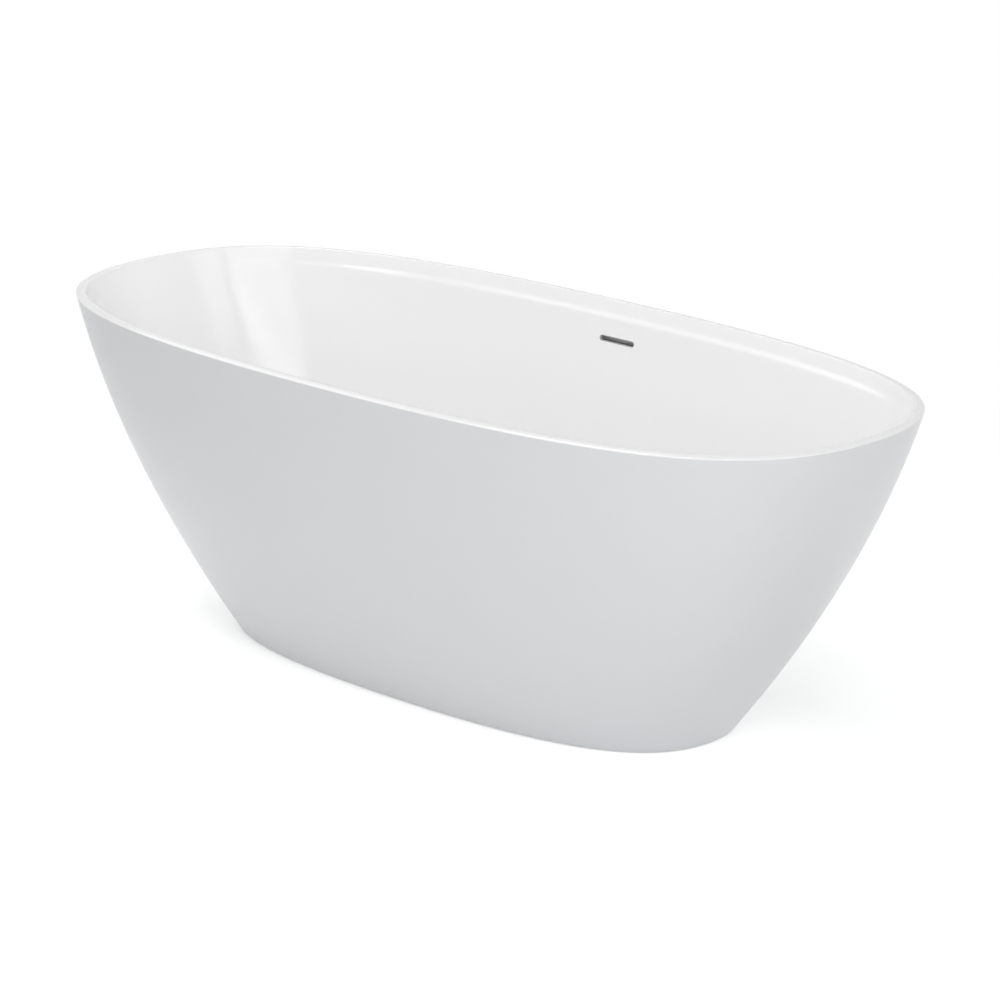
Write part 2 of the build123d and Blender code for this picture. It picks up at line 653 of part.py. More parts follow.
with BuildPart() as waste_body:
    with Locations((0, 0, BODY_TOP)):
        Cylinder(BODY_FLANGE_RADIUS, BODY_FLANGE_WALL, align=HANGING)
        Cylinder(BODY_RADIUS, BODY_DEPTH, align=HANGING)
    with Locations((0, 0, BODY_UNDERSIDE)):
        Cylinder(TAIL_RADIUS, TAIL_LENGTH, align=HANGING)
    with BuildSketch(Plane.XZ.offset(-INLET_REACH)):
        with Locations((0, INLET_LEVEL)):
            Circle(SPIGOT_RADIUS)
    extrude(amount=INLET_REACH)
    with Locations((0, 0, BODY_UNDERSIDE + BODY_WALL)):
        Cylinder(BODY_RADIUS - BODY_WALL, BODY_CHAMBER_DEPTH, align=STANDING, mode=Mode.SUBTRACT)
        Cylinder(TAIL_BORE, TAIL_LENGTH + BODY_WALL, align=HANGING, mode=Mode.SUBTRACT)
        Cylinder(WASTE_TUBE_RADIUS + FIT, BODY_DEPTH, align=STANDING, mode=Mode.SUBTRACT)
    with BuildSketch(Plane.XZ.offset(-INLET_REACH)):
        with Locations((0, INLET_LEVEL)):
            Circle(SPIGOT_BORE)
    extrude(amount=INLET_REACH, mode=Mode.SUBTRACT)
finish(waste_body, "waste_body")

# Sleeve that lines the overflow slot, cut flush with the basin wall

with BuildPart() as overflow_trim:
    with BuildSketch(OVERFLOW_PLANE.offset(TRIM_DEPTH - 2 * BASIN_WALL)):
        SlotOverall(TRIM_LENGTH, TRIM_HEIGHT)
        SlotOverall(SLOT_LENGTH, SLOT_HEIGHT, mode=Mode.SUBTRACT)
    extrude(amount=-TRIM_DEPTH)
    loft(
        sections=bowl_sections(BASIN_FLOOR_LEVEL, BASIN_CORNER_RADIUS, 2 * FIT, HEIGHT),
        mode=Mode.SUBTRACT,
    )
finish(overflow_trim, "overflow_trim")

# Gasket and manifold behind the slot

manifold_flange_height = MANIFOLD_RISE + MANIFOLD_FLANGE_DROP
manifold_flange_centre = (MANIFOLD_RISE - MANIFOLD_FLANGE_DROP) / 2
with BuildPart() as overflow_gasket:
    with BuildSketch(OVERFLOW_PLANE.offset(FIT / 2)):
        with Locations((0, manifold_flange_centre)):
            RectangleRounded(MANIFOLD_LENGTH, manifold_flange_height, MANIFOLD_CORNER_RADIUS)
        SlotOverall(TRIM_LENGTH + 2 * FIT, TRIM_HEIGHT + 2 * FIT, mode=Mode.SUBTRACT)
    extrude(amount=OVERFLOW_GASKET_WALL)
finish(overflow_gasket, "overflow_gasket")


def duct_plane(drop, offset):
    """Plane across the overflow duct: below the slot by a drop, out from the wall by an offset."""
    origin = OVERFLOW_PLANE.from_local_coords(Vector(0, -drop, offset))
    return Plane(origin=origin, x_dir=OVERFLOW_PLANE.x_dir, z_dir=-OVERFLOW_PLANE.y_dir)


def throat_sections(shrink, bore):
    """Sections that turn the manifold's flat box into its round spigot."""
    with BuildSketch(duct_plane(MANIFOLD_DROP, MANIFOLD_FACE + MANIFOLD_DEPTH / 2)) as flat_end:
        Rectangle(MANIFOLD_BOX_LENGTH - 2 * shrink, MANIFOLD_DEPTH - 2 * shrink)
    with BuildSketch(duct_plane(MANIFOLD_THROAT_DROP, MANIFOLD_SPIGOT_OFFSET)) as round_end:
        Circle(bore)
    return [flat_end.sketch, round_end.sketch]


def spigot_section(bore):
    """Circle across the top of the manifold's spigot."""
    with BuildSketch(duct_plane(MANIFOLD_THROAT_DROP, MANIFOLD_SPIGOT_OFFSET)) as section:
        Circle(bore)
    return section.sketch


with BuildPart() as overflow_manifold:
    with BuildSketch(OVERFLOW_PLANE.offset(MANIFOLD_FACE)):
        with Locations((0, manifold_flange_centre)):
            RectangleRounded(MANIFOLD_LENGTH, manifold_flange_height, MANIFOLD_CORNER_RADIUS)
    extrude(amount=MANIFOLD_FLANGE_WALL)
    with BuildSketch(OVERFLOW_PLANE.offset(MANIFOLD_FACE)):
        with Locations((0, MANIFOLD_RISE - MANIFOLD_WALL)):
            Rectangle(
                MANIFOLD_BOX_LENGTH,
                MANIFOLD_RISE - MANIFOLD_WALL + MANIFOLD_DROP,
                align=(Align.CENTER, Align.MAX),
            )
    extrude(amount=MANIFOLD_DEPTH)
    loft(sections=throat_sections(0, SPIGOT_RADIUS))
    extrude(spigot_section(SPIGOT_RADIUS), amount=MANIFOLD_SPIGOT_DROP - MANIFOLD_THROAT_DROP)
    with BuildSketch(OVERFLOW_PLANE.offset(MANIFOLD_FACE + MANIFOLD_WALL)):
        with Locations((0, MANIFOLD_RISE - 2 * MANIFOLD_WALL)):
            Rectangle(
                MANIFOLD_BOX_LENGTH - 2 * MANIFOLD_WALL,
                MANIFOLD_RISE - 2 * MANIFOLD_WALL + MANIFOLD_DROP,
                align=(Align.CENTER, Align.MAX),
            )
    extrude(amount=MANIFOLD_DEPTH - 2 * MANIFOLD_WALL, mode=Mode.SUBTRACT)
    loft(sections=throat_sections(MANIFOLD_WALL, SPIGOT_BORE), mode=Mode.SUBTRACT)
    extrude(
        spigot_section(SPIGOT_BORE),
        amount=MANIFOLD_SPIGOT_DROP - MANIFOLD_THROAT_DROP,
        mode=Mode.SUBTRACT,
    )
    with BuildSketch(OVERFLOW_PLANE.offset(MANIFOLD_FACE)):
        SlotOverall(TRIM_LENGTH + 2 * FIT, TRIM_HEIGHT + 2 * FIT)
    extrude(amount=MANIFOLD_WALL, mode=Mode.SUBTRACT)
finish(overflow_manifold, "overflow_manifold")

# Hose from the manifold down the cavity to the waste body, with a collar at each end

hose_top = OVERFLOW_PLANE.from_local_coords(
    Vector(0, SPIGOT_GRIP - MANIFOLD_SPIGOT_DROP, MANIFOLD_SPIGOT_OFFSET)
)
hose_lead = hose_top - OVERFLOW_PLANE.y_dir * (SPIGOT_GRIP + HOSE_RADIUS)
hose_end = Vector(0, INLET_REACH - SPIGOT_GRIP, INLET_LEVEL)
hose_points = [hose_top, hose_lead]
for share, gap in zip(HOSE_FALL_SHARES, HOSE_SKIRT_GAPS):
    hose_level = INLET_LEVEL + (hose_lead.Z - INLET_LEVEL) * share
    hose_points.append(Vector(0, skirt_inside(hose_level) - gap, hose_level))
hose_points.append(hose_end)


def bend_radius(before, corner, after):
    """Radius of a hose bend, as large as its two runs allow, up to the usual one."""
    turn = radians((corner - before).get_angle(after - corner))
    shorter_run = min((corner - before).length, (after - corner).length)
    return min(HOSE_BEND_RADIUS, 0.45 * shorter_run / tan(turn / 2))


hose_bends = [bend_radius(*hose_points[i : i + 3]) for i in range(len(hose_points) - 2)]
with BuildPart() as overflow_hose:
    with BuildLine():
        hose_path = FilletPolyline(*hose_points, radius=hose_bends)
    with BuildSketch(Plane(origin=hose_path @ 0, z_dir=hose_path % 0)):
        Circle(HOSE_RADIUS)
        Circle(HOSE_BORE, mode=Mode.SUBTRACT)
    sweep(path=hose_path)
finish(overflow_hose, "overflow_hose")

with BuildPart() as hose_collar_top:
    with BuildSketch(Plane(origin=hose_path @ 0, z_dir=hose_path % 0)):
        Circle(COLLAR_BORE + COLLAR_WALL)
        Circle(COLLAR_BORE, mode=Mode.SUBTRACT)
    extrude(amount=COLLAR_LENGTH)
finish(hose_collar_top, "hose_collar_top")

with BuildPart() as hose_collar_bottom:
    with BuildSketch(Plane(origin=hose_path @ 1, z_dir=-(hose_path % 1))):
        Circle(COLLAR_BORE + COLLAR_WALL)
        Circle(COLLAR_BORE, mode=Mode.SUBTRACT)
    extrude(amount=COLLAR_LENGTH)
finish(hose_collar_bottom, "hose_collar_bottom")

# Trap: a cup with a dip tube, a weir ring and a socket for the waste pipe

with BuildPart() as trap_cup:
    with Locations((0, 0, TRAP_CUP_FLOOR_LEVEL)):
        Cylinder(TRAP_CUP_RADIUS, TRAP_CUP_TOP - TRAP_CUP_FLOOR_LEVEL, align=STANDING)
    with BuildSketch(Plane.YZ.offset(OUTLET_REACH)):
        with Locations((0, OUTLET_LEVEL)):
            Circle(OUTLET_RADIUS)
    extrude(amount=-OUTLET_LENGTH)
    with Locations((0, 0, TRAP_CUP_FLOOR_LEVEL + TRAP_CUP_WALL)):
        Cylinder(
            TRAP_CUP_RADIUS - TRAP_CUP_WALL,
            TRAP_CUP_TOP - TRAP_CUP_FLOOR_LEVEL - 2 * TRAP_CUP_WALL,
            align=STANDING,
            mode=Mode.SUBTRACT,
        )
    with BuildSketch(Plane.YZ.offset(TRAP_WEIR_RADIUS)):
        with Locations((0, OUTLET_LEVEL)):
            Circle(OUTLET_BORE)
    extrude(amount=OUTLET_REACH - TRAP_WEIR_RADIUS, mode=Mode.SUBTRACT)
    with BuildSketch(Plane.YZ.offset(OUTLET_REACH)):
        with Locations((0, OUTLET_LEVEL)):
            Circle(SOCKET_BORE)
    extrude(amount=-SOCKET_DEPTH, mode=Mode.SUBTRACT)
    with Locations((0, 0, TRAP_CUP_FLOOR_LEVEL + TRAP_CUP_WALL)):
        Cylinder(TRAP_WEIR_RADIUS, TRAP_WEIR_HEIGHT, align=STANDING)
        Cylinder(TRAP_WEIR_RADIUS - TRAP_WEIR_WALL, TRAP_WEIR_HEIGHT, align=STANDING, mode=Mode.SUBTRACT)
    with Locations((0, 0, TRAP_TOP)):
        Cylinder(TRAP_NECK_RADIUS, TRAP_TOP - TRAP_DIP_END, align=HANGING)
        Cylinder(TRAP_COLLAR_RADIUS, TRAP_COLLAR_WALL, align=HANGING)
        Cylinder(TRAP_NECK_BORE, TRAP_TOP - TRAP_DIP_END, align=HANGING, mode=Mode.SUBTRACT)
finish(trap_cup, "trap_cup")

with BuildPart() as trap_washer:
    with Locations((0, 0, TRAP_TOP)):
        Cylinder(TAIL_RADIUS, TRAP_WASHER_WALL, align=STANDING)
        Cylinder(TAIL_BORE, TRAP_WASHER_WALL, align=STANDING, mode=Mode.SUBTRACT)
finish(trap_washer, "trap_washer")

with BuildPart() as trap_union_nut:
    union_foot = TRAP_TOP - TRAP_COLLAR_WALL - UNION_LIP
    union_height = TAIL_END + UNION_GRIP - union_foot
    with Locations((0, 0, union_foot)):
        Cylinder(UNION_RADIUS, union_height, align=STANDING)
        with PolarLocations(UNION_RADIUS, UNION_RIBS):
            Cylinder(UNION_RIB_RADIUS, union_height, align=STANDING)
        Cylinder(TRAP_NECK_RADIUS + FIT, union_height, align=STANDING, mode=Mode.SUBTRACT)
    with Locations((0, 0, TRAP_TOP - TRAP_COLLAR_WALL)):
        Cylinder(TAIL_RADIUS + MOVING_GAP, union_height, align=STANDING, mode=Mode.SUBTRACT)
        Cylinder(TRAP_COLLAR_RADIUS + FIT, TRAP_COLLAR_WALL + FIT, align=STANDING, mode=Mode.SUBTRACT)
finish(trap_union_nut, "trap_union_nut")

# Compression nut and seal on the outlet

with BuildPart() as outlet_seal:
    with BuildSketch(Plane.YZ.offset(OUTLET_REACH)):
        with Locations((0, OUTLET_LEVEL)):
            Circle(OUTLET_RADIUS)
            Circle(SOCKET_BORE, mode=Mode.SUBTRACT)
    extrude(amount=OUTLET_SEAL_LENGTH)
finish(outlet_seal, "outlet_seal")

with BuildPart() as outlet_nut:
    outlet_nut_end = OUTLET_REACH + OUTLET_SEAL_LENGTH + OUTLET_NUT_LIP
    with BuildSketch(Plane.YZ.offset(outlet_nut_end)):
        with Locations((0, OUTLET_LEVEL)):
            Circle(OUTLET_NUT_RADIUS)
            Circle(SOCKET_BORE, mode=Mode.SUBTRACT)
    extrude(amount=-OUTLET_NUT_LENGTH)
    with BuildSketch(Plane.YZ.offset(outlet_nut_end - OUTLET_NUT_LIP)):
        with Locations((0, OUTLET_LEVEL)):
            Circle(OUTLET_RADIUS + FIT)
    extrude(amount=OUTLET_NUT_LIP - OUTLET_NUT_LENGTH, mode=Mode.SUBTRACT)
finish(outlet_nut, "outlet_nut")
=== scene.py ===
"""Looks of a freestanding oval bath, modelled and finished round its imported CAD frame.

Lengths are metres in the frame's own axes: +X along the bath, +Y to the overflow side, +Z up.
"""

import math

import bmesh
import bpy
from bpy.props import FloatProperty, FloatVectorProperty, IntProperty, PointerProperty
from mathutils import Matrix, Vector


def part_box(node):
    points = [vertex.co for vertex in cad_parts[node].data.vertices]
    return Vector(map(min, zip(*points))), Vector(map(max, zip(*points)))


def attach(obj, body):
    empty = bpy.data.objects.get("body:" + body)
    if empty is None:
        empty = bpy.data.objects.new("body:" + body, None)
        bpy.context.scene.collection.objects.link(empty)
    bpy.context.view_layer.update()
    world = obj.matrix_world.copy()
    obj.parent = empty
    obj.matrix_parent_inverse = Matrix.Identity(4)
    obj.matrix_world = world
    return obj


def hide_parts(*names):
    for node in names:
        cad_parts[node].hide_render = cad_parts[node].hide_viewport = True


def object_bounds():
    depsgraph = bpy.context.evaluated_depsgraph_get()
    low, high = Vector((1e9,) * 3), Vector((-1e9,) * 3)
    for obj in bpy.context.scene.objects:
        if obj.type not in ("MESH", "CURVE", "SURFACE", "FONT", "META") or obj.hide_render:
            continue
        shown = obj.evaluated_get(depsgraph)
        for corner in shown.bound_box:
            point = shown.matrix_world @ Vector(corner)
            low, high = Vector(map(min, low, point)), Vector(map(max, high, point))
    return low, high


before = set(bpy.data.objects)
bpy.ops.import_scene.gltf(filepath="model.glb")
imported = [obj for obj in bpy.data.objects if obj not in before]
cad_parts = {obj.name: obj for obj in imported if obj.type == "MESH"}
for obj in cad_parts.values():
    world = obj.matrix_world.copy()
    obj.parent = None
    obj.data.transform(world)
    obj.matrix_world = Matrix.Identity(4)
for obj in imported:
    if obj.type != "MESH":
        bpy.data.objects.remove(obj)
CAD_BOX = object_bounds()

bl_info = {
    "name": "Oval Bath",
    "version": (1, 0, 0),
    "blender": (4, 5, 0),
    "location": "View3D > Sidebar > Bath",
    "description": "Models and finishes a freestanding oval bath round its CAD frame",
    "category": "Object",
}

MM = 0.001
# Edges that turn by more degrees than this stay sharp
CREASE = 35.0


def linear(hex_colour):
    """Scene-linear RGBA of an sRGB hex colour."""
    channels = [int(hex_colour[i : i + 2], 16) / 255 for i in (1, 3, 5)]
    return (*[c / 12.92 if c <= 0.04045 else ((c + 0.055) / 1.055) ** 2.4 for c in channels], 1.0)


def length(name, description, default):
    """A property for a size in metres."""
    return FloatProperty(name=name, description=description, default=default, unit="LENGTH", precision=4)


def share(name, description, default):
    """A property for a share from 0 to 1."""
    return FloatProperty(name=name, description=description, default=default, min=0, max=1, subtype="FACTOR")


def colour(name, description, hex_colour):
    """A property for a colour, written as sRGB hex."""
    return FloatVectorProperty(
        name=name, description=description, default=linear(hex_colour), size=4, min=0, max=1, subtype="COLOR"
    )


# Settings


class BathShape(bpy.types.PropertyGroup):
    """Sizes of the two shells."""

    rim_length: length("Rim length", "Length over the rim", 1.7)
    rim_width: length("Rim width", "Width over the rim", 0.76)
    height: length("Height", "Height of the rim above the floor", CAD_BOX[1].z)
    foot_length: length("Foot length", "Length of the skirt at the floor", 1.05)
    foot_width: length("Foot width", "Width of the skirt at the floor", 0.416)
    end_swell: length("End swell", "How far the ends swell out at half height", 0.033)
    side_swell: length("Side swell", "How far the sides swell out at half height", 0.031)
    rim_fullness: share("Rim fullness", "How square the oval is at the rim", 0.736)
    foot_fullness: share("Foot fullness", "How square the oval is at the floor", 0.706)
    rim_flat: length("Rim flat", "Width of the top of the rim", 0.016)
    rim_fall: length("Rim fall", "How far the rim's top falls from its inner to its outer edge", 0.0026)
    rim_edge: length("Rim edge", "Radius of the rim's outer edge", 0.0025)
    rim_lip: length("Rim lip", "Radius of the rim's inner edge", 0.003)
    rim_wall: length("Rim wall", "Thickness of the rim", 0.005)
    band_run: share("Band run", "How far the band under the rim leans in for its depth", 0.22)
    ledge_drop: length("Ledge drop", "Depth of the soft ledge below the rim", 0.026)
    ledge_gap: length("Ledge gap", "Distance of the bowl's wall from the outer form, under the ledge", 0.028)
    ledge_height: length("Ledge height", "Height of the shoulder from band to wall", 0.0085)
    ledge_start: share("Ledge start", "Where the ledge starts to die out, from mid side to end", 0.3)
    ledge_end: share("Ledge end", "Where the ledge has died out, from mid side to end", 0.8)
    floor_gap: length("Floor gap", "Distance of the bowl from the outer form at its floor", 0.056)
    floor_level: length("Floor level", "Height of the bowl's floor", 0.130)
    floor_radius: length("Floor radius", "Radius between floor and wall", 0.080)
    floor_wall: length("Floor wall", "Thickness of the bowl's floor", 0.012)
    basin_wall: length("Basin wall", "Thickness of the bowl's wall", 0.005)
    skirt_wall: length("Skirt wall", "Thickness of the skirt", 0.005)
    columns: IntProperty(name="Columns", description="Mesh columns round the oval", default=240, min=48)


class BathFinish(bpy.types.PropertyGroup):
    """Colours of what the eye sees first."""

    basin: colour("Basin", "Polished acrylic of the bowl and rim", "#F7F7F7")
    # The skirt's grey is partly painted shade: the outer face is the bowl's white acrylic, made darker
    skirt: colour("Skirt", "Satin acrylic of the outer shell", "#E1E3E5")
    # The sleeve's grey is made darker to paint the shade on the slot's lower face
    sleeve: colour("Overflow sleeve", "Light grey moulded plastic in the slot", "#BCBCBB")


class BathStudio(bpy.types.PropertyGroup):
    """Light and camera of the studio."""

    walls: FloatProperty(
        name="Walls", description="Strength of the light from the white walls", default=0.90, min=0
    )
    left_walls: share("Left walls", "Share of that light from the walls on the left", 0.7)
    lamps: share("Lamps", "Share of every softbox's full power", 1.0)
    floor_lift: share("Floor lift", "White added to the floor's own shade where it is seen", 0.47)
    lens: FloatProperty(name="Lens", description="Focal length in millimetres", default=153.0, min=1)


# Form of the shells


class BathForm:
    """The bath's outer form and the bowl inside it, as functions of height."""

    def __init__(self, shape):
        self.shape = shape
        self.ledge_level = shape.height - shape.ledge_drop

    def half_size(self, level, foot, rim, swell):
        """Half of a size that grows from foot to rim and swells between them."""
        rise = level / self.shape.height
        return (foot + (rim - foot) * rise) / 2 + swell * 4 * rise * (1 - rise)

    def half_length(self, level):
        """Half the outer form's length at a height."""
        return self.half_size(level, self.shape.foot_length, self.shape.rim_length, self.shape.end_swell)

    def half_width(self, level):
        """Half the outer form's width at a height."""
        return self.half_size(level, self.shape.foot_width, self.shape.rim_width, self.shape.side_swell)

    def point(self, turn, level, inset=0.0):
        """Point on the oval at a height, drawn in by an inset; turn counts quarters from +X."""
        rise = level / self.shape.height
        fullness = self.shape.foot_fullness + (self.shape.rim_fullness - self.shape.foot_fullness) * rise
        end = Vector((self.half_length(level) - inset, 0, 0))
        side = Vector((0, self.half_width(level) - inset, 0))
        spokes = (end, side, -end, -side)
        quarter = int(turn) % 4
        late = turn - int(turn)
        early = 1 - late
        first = early**3 + 3 * early**2 * late + 3 * fullness * early * late**2
        second = late**3 + 3 * late**2 * early + 3 * fullness * late * early**2
        return spokes[quarter] * first + spokes[(quarter + 1) % 4] * second + Vector((0, 0, level))

    def band_gap(self, level):
        """Distance from the outer form to the steep band between rim and ledge."""
        return self.shape.rim_flat + self.shape.band_run * (self.shape.height - level)

    def wall_gap(self, level):
        """Distance from the outer form to the bowl's wall."""
        run = (self.shape.floor_gap - self.shape.ledge_gap) / (self.ledge_level - self.shape.floor_level)
        return self.shape.ledge_gap + run * (self.ledge_level - level)

    def end_gap(self, level):
        """Distance from the outer form to the bowl's wall at the ends, straight up to the rim."""
        part = (self.shape.height - level) / (self.shape.height - self.shape.floor_level)
        return self.shape.rim_flat + (self.shape.floor_gap - self.shape.rim_flat) * part

    def inner_gap(self, level, turn=1.0):
        """Band and wall with the ledge's soft shoulder between them, which dies out towards the ends."""
        shape = self.shape
        shoulder = ease((self.ledge_level - level) / shape.ledge_height + 0.5)
        side = self.band_gap(level) + (self.wall_gap(level) - self.band_gap(level)) * shoulder
        died = ease((abs(turn % 2 - 1) - shape.ledge_start) / (shape.ledge_end - shape.ledge_start))
        return side + (self.end_gap(level) - side) * died

    def wall_tilt(self, level, step=0.5 * MM):
        """Angle of the bowl's wall from the vertical, at the middle of a side."""
        high = self.half_width(level + step) - self.inner_gap(level + step)
        low = self.half_width(level - step) - self.inner_gap(level - step)
        return math.atan((high - low) / (2 * step))


def ease(value):
    """Soft step from 0 to 1."""
    value = min(max(value, 0.0), 1.0)
    return value * value * (3 - 2 * value)


def spread(start, stop, count):
    """Evenly spaced values from start to stop, in so many steps."""
    return [stop - (stop - start) * (1 - i / count) for i in range(count + 1)]


def oval(form, level, inset=0.0):
    """A station of the sweep: the outer form's oval at a height."""
    return lambda turn: form.point(turn, level, inset)


def round_edge(form, level, inset, radius, begin, end, steps):
    """Stations round an edge: the centre's level and inset, a radius, and angles from straight in."""
    return [
        oval(form, level + radius * math.sin(angle), inset + radius * math.cos(angle))
        for angle in spread(math.radians(begin), math.radians(end), steps)
    ]


def sweep(stations, columns, half_step=False, closed=True):
    """Skin of rings, a circle extruded from station to station, bridged to a ring or capped at both ends."""
    skin = bmesh.new()
    nudge = Matrix.Rotation(math.pi / columns if half_step else 0.0, 4, "Z")
    bmesh.ops.create_circle(skin, segments=columns, radius=1.0, matrix=nudge)
    place = skin.verts.layers.float.new("turn")
    for vert in skin.verts:
        vert[place] = math.atan2(vert.co.y, vert.co.x) / (math.pi / 2) % 4
        vert.co = stations[0](vert[place])
    first = skin.edges[:]
    edges = first
    for station in stations[1:]:
        grown = bmesh.ops.extrude_edge_only(skin, edges=edges)["geom"]
        edges = [part for part in grown if isinstance(part, bmesh.types.BMEdge) and part.is_boundary]
        for vert in {vert for edge in edges for vert in edge.verts}:
            vert.co = station(vert[place])
    if closed:
        bmesh.ops.bridge_loops(skin, edges=first + edges)
    else:
        bmesh.ops.holes_fill(skin, edges=first + edges)
    skin.verts.layers.float.remove(place)
    bmesh.ops.recalc_face_normals(skin, faces=skin.faces)
    return skin


def add_object(name, data):
    """A new object in the scene."""
    added = bpy.data.objects.new(name, data)
    bpy.context.scene.collection.objects.link(added)
    return added


def mesh_from(skin, name):
    """A mesh from a bmesh, which is then freed."""
    mesh = bpy.data.meshes.new(name)
    skin.to_mesh(mesh)
    skin.free()
    return mesh


def piece_from(skin, name, material):
    """A finished object from a bmesh, with one material."""
    mesh = mesh_from(skin, name)
    finish_mesh(mesh, material)
    piece = add_object(name, mesh)
    return piece


def finish_mesh(mesh, material):
    """Smooth shading with sharp creases, and one material."""
    mesh.shade_smooth()
    mesh.set_sharp_from_angle(angle=math.radians(CREASE))
    mesh.materials.clear()
    mesh.materials.append(material)


def cut_away(piece, cutter):
    """Cuts one object with another and keeps the plain mesh."""
    cut = piece.modifiers.new("cut", "BOOLEAN")
    cut.object = cutter
    cut.solver = "EXACT"
    graph = bpy.context.evaluated_depsgraph_get()
    whole = piece.data
    piece.data = bpy.data.meshes.new_from_object(piece.evaluated_get(graph))
    piece.modifiers.clear()
    bpy.data.meshes.remove(whole)
    bpy.data.objects.remove(cutter)


# Materials


def add_node(tree, kind, inputs=None, **settings):
    """A node with its settings; each input takes a value or another node's socket."""
    node = tree.nodes.new(kind)
    for name, value in settings.items():
        setattr(node, name, value)
    for name, value in (inputs or {}).items():
        if isinstance(value, bpy.types.NodeSocket):
            tree.links.new(value, node.inputs[name])
        else:
            node.inputs[name].default_value = value
    return node


def new_material(name):
    """An empty node material and its output node."""
    material = bpy.data.materials.new(name)
    material.use_nodes = True
    material.node_tree.nodes.clear()
    output = add_node(material.node_tree, "ShaderNodeOutputMaterial")
    return material, material.node_tree, output


def per_metre(size_mm):
    """Texture scale that makes one pattern cell this many millimetres wide."""
    return 1.0 / (size_mm * MM)


def acrylic(name, tint, wave_mm, smooth, rough):
    """Acrylic sheet, vacuum-formed: even colour under a gloss that hardly changes from place to place."""
    material, tree, output = new_material(name)
    place = add_node(tree, "ShaderNodeTexCoord").outputs["Object"]
    # Vacuum forming leaves a very slow waviness that only the reflections show
    scale = per_metre(wave_mm)
    wave = add_node(tree, "ShaderNodeTexNoise", {"Vector": place, "Scale": scale, "Detail": 1.0})
    bump = add_node(
        tree, "ShaderNodeBump", {"Height": wave.outputs["Fac"], "Strength": 0.02, "Distance": 2 * MM}
    )
    wipe = add_node(tree, "ShaderNodeTexNoise", {"Vector": place, "Scale": per_metre(90), "Detail": 2.0})
    gloss = add_node(
        tree,
        "ShaderNodeMapRange",
        {"Value": wipe.outputs["Fac"], "From Min": 0.3, "From Max": 0.7, "To Min": smooth, "To Max": rough},
    )
    shade = add_node(
        tree,
        "ShaderNodeBsdfPrincipled",
        {
            "Base Color": tint,
            "Roughness": gloss.outputs["Result"],
            "IOR": 1.49,
            "Normal": bump.outputs["Normal"],
        },
    )
    tree.links.new(shade.outputs["BSDF"], output.inputs["Surface"])
    return material


def moulded_plastic(name, tint, roughness, grain_mm=0.8):
    """Injection-moulded plastic: even colour with the fine spark-eroded grain of its mould."""
    material, tree, output = new_material(name)
    place = add_node(tree, "ShaderNodeTexCoord").outputs["Object"]
    # A real grain is much finer, and is drawn this coarse so that it shows
    scale = per_metre(grain_mm)
    grain = add_node(tree, "ShaderNodeTexNoise", {"Vector": place, "Scale": scale, "Detail": 2.0})
    bump = add_node(
        tree, "ShaderNodeBump", {"Height": grain.outputs["Fac"], "Strength": 0.15, "Distance": 0.1 * MM}
    )
    cloud = add_node(tree, "ShaderNodeTexNoise", {"Vector": place, "Scale": per_metre(25), "Detail": 2.0})
    dull = [0.96 * channel for channel in tint[:3]] + [1.0]
    tone = add_node(
        tree,
        "ShaderNodeMix",
        {"Factor": cloud.outputs["Fac"], "A": tint, "B": dull},
        data_type="RGBA",
    )
    shade = add_node(
        tree,
        "ShaderNodeBsdfPrincipled",
        {
            "Base Color": tone.outputs["Result"],
            "Roughness": roughness,
            "IOR": 1.5,
            "Normal": bump.outputs["Normal"],
        },
    )
    tree.links.new(shade.outputs["BSDF"], output.inputs["Surface"])
    return material


def rubber():
    """Moulded EPDM rubber: near black, dull, with a faint bloom."""
    material, tree, output = new_material("EPDM rubber, moulded")
    place = add_node(tree, "ShaderNodeTexCoord").outputs["Object"]
    bloom = add_node(tree, "ShaderNodeTexNoise", {"Vector": place, "Scale": per_metre(9), "Detail": 4.0})
    tone = add_node(
        tree,
        "ShaderNodeMix",
        {"Factor": bloom.outputs["Fac"], "A": linear("#1A1A1B"), "B": linear("#2B2B2C")},
        data_type="RGBA",
    )
    shade = add_node(
        tree,
        "ShaderNodeBsdfPrincipled",
        {"Base Color": tone.outputs["Result"], "Roughness": 0.75, "IOR": 1.5},
    )
    tree.links.new(shade.outputs["BSDF"], output.inputs["Surface"])
    return material


def metal(name, hex_colour, smooth, rough, cell_mm, bump_mm=0.0):
    """Bare or plated metal, whose polish changes a little from cell to cell and so never looks flat."""
    material, tree, output = new_material(name)
    place = add_node(tree, "ShaderNodeTexCoord").outputs["Object"]
    scale = per_metre(cell_mm)
    grain = add_node(tree, "ShaderNodeTexNoise", {"Vector": place, "Scale": scale, "Detail": 3.0})
    polish = add_node(
        tree,
        "ShaderNodeMapRange",
        {"Value": grain.outputs["Fac"], "From Min": 0.3, "From Max": 0.7, "To Min": smooth, "To Max": rough},
    )
    bump = add_node(
        tree, "ShaderNodeBump", {"Height": grain.outputs["Fac"], "Strength": 0.2, "Distance": bump_mm * MM}
    )
    shade = add_node(
        tree,
        "ShaderNodeBsdfPrincipled",
        {
            "Base Color": linear(hex_colour),
            "Metallic": 1.0,
            "Roughness": polish.outputs["Result"],
            "Normal": bump.outputs["Normal"],
        },
    )
    tree.links.new(shade.outputs["BSDF"], output.inputs["Surface"])
    return material


